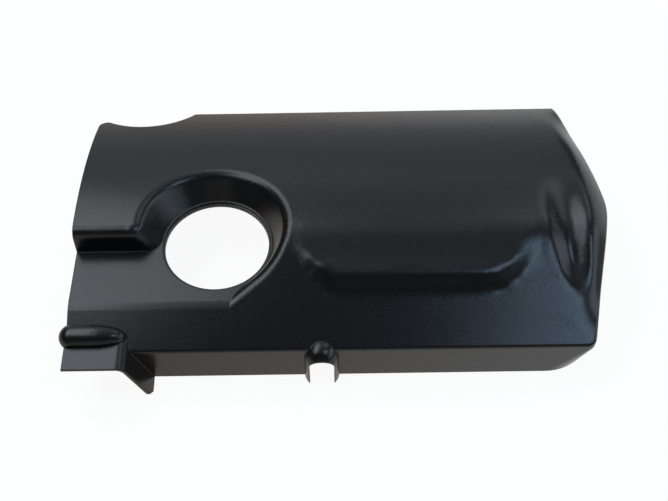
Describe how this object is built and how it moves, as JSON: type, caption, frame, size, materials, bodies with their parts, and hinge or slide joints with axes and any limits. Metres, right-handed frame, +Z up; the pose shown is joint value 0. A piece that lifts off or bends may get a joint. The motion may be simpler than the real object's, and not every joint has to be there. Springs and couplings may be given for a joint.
{
  "type": "engine acoustic cover",
  "caption": "Moulded engine cover with a crowned top, an oil filler opening in a round recess, a raised panel, a front skirt with a slot hood and pipe flange, and rubber ball stud sockets.",
  "frame": {"origin": "middle of the cover's box at the skirt's lower edge", "axes": "+X towards the rounded right end, +Y from the front skirt to the rear, +Z up"},
  "size_m": [0.4509, 0.2764, 0.08],
  "materials": {
    "cover_plastic": "satin, fine grain",
    "grommet_rubber": "matte"
  },
  "bodies": {
    "root": {"cover_shell": "cover_plastic", "grommet_rear_left": "grommet_rubber", "grommet_rear_right": "grommet_rubber", "grommet_front_left": "grommet_rubber", "grommet_front_right": "grommet_rubber"}
  },
  "joints": []
}
